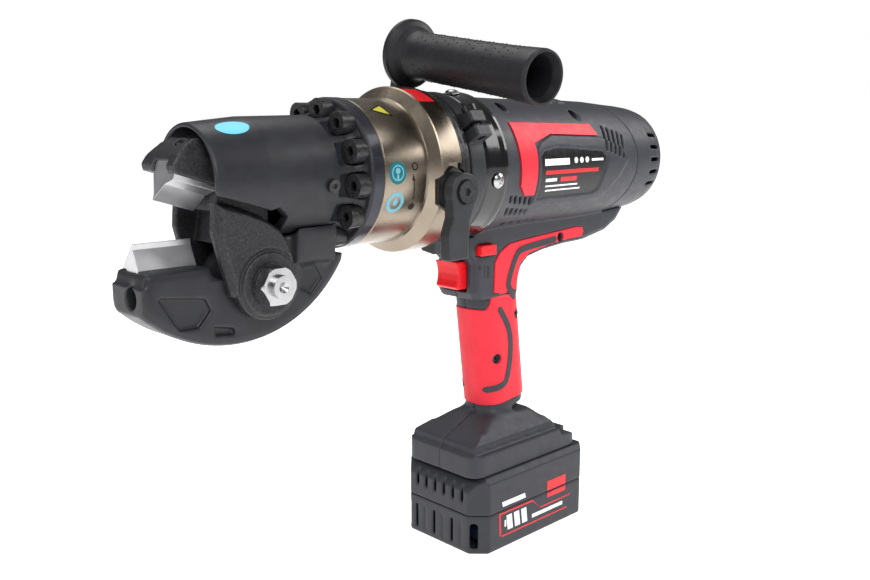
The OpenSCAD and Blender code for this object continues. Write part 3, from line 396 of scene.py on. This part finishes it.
def lay(name, shapes, put, body, slot, material, thick=THIN, cell=3.0, sink=0.3):
    """One thin closed piece cut to flat shapes and set on a surface by put(u, v) -> place, normal."""
    bm = bmesh.new()
    for points, faces in shapes:
        made = [bm.verts.new((*p, 0)) for p in points]
        for face in faces:
            bm.faces.new([made[i] for i in face])
    for axis in (Vector((1, 0, 0)), Vector((0, 1, 0))):
        reach = [v.co.dot(axis) for v in bm.verts]
        for k in range(1, math.ceil((max(reach) - min(reach)) / cell)):
            bmesh.ops.bisect_plane(bm, geom=bm.verts[:] + bm.edges[:] + bm.faces[:], dist=1e-5,
                                   plane_co=axis * (min(reach) + k * cell), plane_no=axis)
    bmesh.ops.triangulate(bm, faces=bm.faces[:])
    bm.verts.index_update()
    flat = [v.co.copy() for v in bm.verts]
    tops = [[v.index for v in f.verts] for f in bm.faces]
    rims = [[v.index for v in e.verts] for e in bm.edges if e.is_boundary]
    bm.clear()
    seats = [put(p.x, p.y) for p in flat]
    missed = [tuple(p) for p, seat in zip(flat, seats) if seat[0] is None]
    if missed:
        raise ValueError(f"{name} leaves its surface at {missed[:3]}")
    upper = [bm.verts.new(place + normal * thick * MM) for place, normal in seats]
    lower = [bm.verts.new(place - normal * sink * MM) for place, normal in seats]
    for face in tops:
        bm.faces.new([upper[i] for i in face])
        bm.faces.new([lower[i] for i in reversed(face)])
    for a, b in rims:
        bm.faces.new((upper[a], upper[b], lower[b], lower[a]))
    bmesh.ops.recalc_face_normals(bm, faces=bm.faces[:])
    mesh = bpy.data.meshes.new(name)
    bm.to_mesh(mesh)
    bm.free()
    return piece(name, mesh, body, material, slot, SMOOTH_ANGLE)


CYLINDER_R, CYLINDER_REAR_R, SHROUD_R, BARREL_R = 42, 49, 32.6, 41.5     # mm, to turn arcs into angles
OVER = 0.18          # mm, marks that lie on other marks


def build_cylinder_marks():
    put = on_barrel(["cylinder_body"], CYLINDER_R)
    rear = on_barrel(["cylinder_body"], CYLINDER_REAR_R)
    shroud = on_barrel(["head_shroud"], SHROUD_R)
    slot = "cylinder_steel"
    triangle = [(133, 41.6), (123.3, 46.8), (121.2, 36.6)]
    for name, shapes, where, material, thick in (
        ("round_label_upper", [oval(130, 1.5, 6.1, 6.3)], put, INK_TEAL, THIN),
        ("round_symbol_upper", [ring(130, 1.5, 3.6, 4.4), oval(130, 2.6, 1.7, 1.7),
                                band([(130, 0), (130, -1.4)], 1.4)], put, INK_PALE, OVER),
        ("round_label_lower", [ring(130, -15.3, 4.0, 6.2), oval(130, -14.9, 1.7, 2.2)], put, INK_PALE, THIN),
        ("valve_way_arrow", [band(rounded([(117, -14), (117.2, -8), (118.2, -3)]), 0.6),
                             outline((116.9, -3.4), (119.4, -2.9), (118.6, 0.4)),
                             ring(117.2, 4.6, 1.5, 2.3), oval(116.8, -18.6, 2.1, 2.1)], put, INK_BLACK, THIN),
        ("caution_field", [outline(*triangle)], put, INK_YELLOW, THIN),
        ("caution_edge", [band(triangle, 1.1, True)], put, INK_BLACK, OVER),
        ("arrow_sticker", [outline((89, 47), (101.5, 47), (101.5, 64), (91, 63))], rear, INK_RED, THIN),
    ):
        lay(name, shapes, where, "tool", slot, material, thick)
    lay("shroud_sticker", [oval(216.5, 34.2, 9.2, 6)], shroud, "tool", "cast_black", INK_SKY)


def build_label(side, tag):
    """Dark field with plain bars and dots."""
    put = on_barrel(["housing_left" if side > 0 else "housing_right"], BARREL_R, side)
    field = [(8.6, -8.5), (8.9, 7), (4.4, 10), (-10, 11.4), (-56, 8.2), (-60.4, 4.4), (-54.4, -17),
             (-49, -19), (7.6, -19)]
    white = [box(-20, 5.5, 0.5, 4.6), *[oval(x, 3, 1.9, 1.9) for x in (-27, -33, -39)],
             box(-57, -44, 2, 3.6), box(-8, 3.4, -9.6, -7.6), box(-31, 2.6, -13, -12),
             box(-35, 1.6, -16, -15)]
    red = [box(-52, 4.4, -5, -2.6), box(-29, -12, -10, -7.2)]
    for name, shapes, material, thick in (("label_field_", [outline(*field)], INK_BLACK, 0.1),
                                          ("label_white_", white, INK_WHITE, 0.16),
                                          ("label_red_", red, INK_RED, 0.16)):
        lay(name + tag, shapes, put, "tool", "housing_grey", material, thick)


def build_battery_mark(side, tag):
    """Plain battery symbol in a red line."""
    put = on_side(["battery_lower_shell", "battery_upper_shell"], side)
    line = [(38, 9.6), (38.8, 25.6), (5, 25.6), (-3, 18.2), (-37, 18.2), (-37, 17.4), (-4, 17.2),
            (4.4, 24.4), (37.4, 24.6), (36.6, 9.8)]
    white = [box(12, 35, 29.6, 33, 1.0), *[box(x, x + 5.2, 12, 22.4, 1.4) for x in (10, 17.4, 24.8)],
             box(31.6, 33.2, 15, 19.6), box(-28, 5, 12.6, 15.2)]
    for name, shapes, material in (
        ("pack_lines_", [outline(*line), box(-33, 36, 8.6, 9.6)], INK_RED),
        ("pack_red_", [box(-31, -11, 22.5, 25.8), box(-31, -11, 27.4, 34.5)], INK_RED),
        ("pack_white_", white, INK_WHITE),
    ):
        lay(name + tag, shapes, put, "battery", "battery_grey", material)


def build_side_marks():
    for side, tag in ((1, "left"), (-1, "right")):
        build_label(side, tag)
        build_battery_mark(side, tag)
        shells = ["grip_cover", "housing_left" if side > 0 else "housing_right"]
        put = on_side(shells, side)
        upper = rounded([(-36, 199.4), (-2, 196.6), (4, 193), (11.6, 176), (11, 171), (3.6, 164.4)])
        lower = rounded([(17.6, 157), (9, 145), (6.4, 134), (6.8, 121), (9.6, 108.4), (12.6, 104.6),
                         (23, 102)])
        lay("grip_inset_" + tag, [band(upper, 4.4), band(lower, 4.4)], put, "tool", "grip_red", INSET,
            thick=0.3, cell=2.5, sink=0.6)
        lay("switch_marks_" + tag, [ring(38.5, 187.6, 0.8, 1.4), band([(34, 189), (34, 180.5)], 0.7),
                                    band([(30.6, 187.4), (30.6, 181)], 2.2)],
            put, "tool", "housing_grey", INK_BLACK)


def build_flange_band():
    """Dark turned rim round the head flange."""
    low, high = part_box("head_shroud")
    radius = (high[1] - low[1]) / 2
    rear, front, under, proud = 139.9, 146.9, -0.4, 0.06     # mm
    profile = ((rear, under), (rear, proud), (front, proud), (front, under))
    count = 180
    bm = bmesh.new()
    loops = [[bm.verts.new((x * MM, (radius + r * MM) * math.cos(math.tau * i / count),
                            BARREL_Z + (radius + r * MM) * math.sin(math.tau * i / count)))
              for x, r in profile] for i in range(count)]
    for i in range(count):
        for k in range(4):
            bm.faces.new((loops[i - 1][k], loops[i][k], loops[i][(k + 1) % 4], loops[i - 1][(k + 1) % 4]))
    bmesh.ops.recalc_face_normals(bm, faces=bm.faces[:])
    mesh = bpy.data.meshes.new("flange_band")
    bm.to_mesh(mesh)
    bm.free()
    piece("flange_band", mesh, "tool", DARK_RING, "cast_black", SMOOTH_ANGLE)


# The side handle's place and lean, as in the CAD: mm and degrees
CLAMP_X, HANDLE_FOOT, HANDLE_TILT, HANDLE_YAW = 70, (0, -25.4, 66.5), 8.8, 3.3


def build_handle_dots():
    """Rows of small raised dots on the side handle."""
    turn = Matrix.Rotation(math.radians(-HANDLE_TILT), 3, "X")
    base = Vector((CLAMP_X, 0, BARREL_Z / MM)) + turn @ Vector(HANDLE_FOOT)
    turn = turn @ Matrix.Rotation(math.radians(-HANDLE_YAW), 3, "Z")
    skin = skin_of(["handle_grip"])
    bm = bmesh.new()
    columns, rows, first, pitch, corners = 20, 16, 22, 5.2, 8
    top_r, top_h, foot_r, foot_h, tip_h = 0.42, 0.26, 0.70, -0.15, 0.34     # mm, one dot
    for row in range(rows):
        for column in range(columns):
            angle = math.tau * (column + 0.5 * (row % 2)) / columns
            out = turn @ Vector((math.cos(angle), 0, math.sin(angle)))
            along = base + turn @ Vector((0, first + pitch * row, 0))
            place, normal, *_ = skin.ray_cast((along + out * 40) * MM, -out)
            side = normal.orthogonal().normalized()
            other = normal.cross(side)
            tip = bm.verts.new(place + normal * tip_h * MM)
            turns = [math.tau * k / corners for k in range(corners)]
            spokes = [side * math.cos(a) + other * math.sin(a) for a in turns]
            rings = [[bm.verts.new(place + spoke * r * MM + normal * h * MM) for spoke in spokes]
                     for r, h in ((top_r, top_h), (foot_r, foot_h))]
            for k in range(corners):
                n = (k + 1) % corners
                bm.faces.new((tip, rings[0][k], rings[0][n]))
                bm.faces.new((rings[0][k], rings[1][k], rings[1][n], rings[0][n]))
            bm.faces.new(list(reversed(rings[1])))
    bmesh.ops.recalc_face_normals(bm, faces=bm.faces[:])
    mesh = bpy.data.meshes.new("handle_dots")
    bm.to_mesh(mesh)
    bm.free()
    piece("handle_dots", mesh, "side_handle", HANDLE, "handle_rubber")


def build_spring():
    """The return spring, a plain copy of the CAD coil; the real one shortens towards the gland as the piston
    moves forward.
    """
    coil = NODES["return_spring"].data.copy()
    spring = piece("spring_coil", coil, "tool", SPRING, "spring_steel", SMOOTH_ANGLE)
    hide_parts("return_spring")
    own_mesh(spring)


build_spring()
build_cylinder_marks()
build_side_marks()
build_flange_band()
build_handle_dots()

# ---------------------------------------------------------------- stage, light and camera
CAMERA_PLACE = (0.4742, 0.4258, 0.2860)
CAMERA_TILT, CAMERA_TURN = 90 - 10.70, 135.88     # degrees
CAMERA_LENS = 38.93                               # mm on a 36 mm sensor


def build_stage():
    floor = bpy.data.meshes.new("floor")
    reach = 30
    floor.from_pydata([(-reach, -reach, 0), (reach, -reach, 0), (reach, reach, 0), (-reach, reach, 0)], [],
                      [(0, 1, 2, 3)])
    t = Tree("floor_white")
    t.link(t.blend(t.remap(t.noise(300), 0, 1), rgb((0.90,) * 3), rgb((0.93,) * 3)), "Base Color")
    t.shader.inputs["Roughness"].default_value = 0.9
    t.shader.inputs["Specular IOR Level"].default_value = 0.1
    t.shader.inputs["Emission Color"].default_value = (1, 1, 1, 1)
    t.shader.inputs["Emission Strength"].default_value = 0.95
    floor.materials.append(t.material)
    obj = bpy.data.objects.new("floor", floor)
    bpy.context.scene.collection.objects.link(obj)


def area_light(name, place, target, size, power, color=(1, 1, 1)):
    light = bpy.data.lights.new(name, "AREA")
    light.shape, light.size, light.size_y = "RECTANGLE", size[0], size[1]
    light.energy, light.color = power, color
    obj = bpy.data.objects.new(name, light)
    obj.location = place
    obj.rotation_mode = "QUATERNION"
    obj.rotation_quaternion = (Vector(target) - Vector(place)).to_track_quat("-Z", "Y")
    bpy.context.scene.collection.objects.link(obj)


def build_light():
    middle = (0.06, 0, 0.2)
    area_light("key", (0.55, 0.95, 1.05), middle, (0.8, 0.8), 15)
    area_light("side", (1.25, -0.35, 0.75), middle, (0.5, 1.0), 5)
    area_light("back", (-0.9, 0.5, 0.9), middle, (0.9, 0.6), 9)
    area_light("top", (0.0, -0.5, 1.3), middle, (1.0, 0.6), 6)
    world = bpy.data.worlds.new("studio")
    bpy.context.scene.world = world
    world.use_nodes = True
    sky = world.node_tree
    dim = sky.nodes["Background"]
    dim.inputs["Color"].default_value = (1, 1, 1, 1)
    dim.inputs["Strength"].default_value = 0.19
    white = sky.nodes.new("ShaderNodeBackground")
    seen = sky.nodes.new("ShaderNodeLightPath").outputs["Is Camera Ray"]
    mix = sky.nodes.new("ShaderNodeMixShader")
    for a, b in ((seen, mix.inputs[0]), (dim.outputs[0], mix.inputs[1]), (white.outputs[0], mix.inputs[2]),
                 (mix.outputs[0], sky.nodes["World Output"].inputs[0])):
        sky.links.new(a, b)
    white.inputs["Color"].default_value = (1, 1, 1, 1)
    view = bpy.context.scene.view_settings
    view.view_transform, view.look, view.exposure = "Standard", "None", 0.0


def build_camera():
    camera = bpy.data.cameras.new("camera")
    camera.lens, camera.sensor_width, camera.sensor_fit = CAMERA_LENS, 36, "HORIZONTAL"
    camera.clip_start, camera.clip_end = 0.01, 100
    obj = bpy.data.objects.new("camera", camera)
    obj.location = CAMERA_PLACE
    obj.rotation_euler = (math.radians(CAMERA_TILT), 0, math.radians(CAMERA_TURN))
    bpy.context.scene.collection.objects.link(obj)
    bpy.context.scene.camera = obj


build_stage()
build_light()
build_camera()
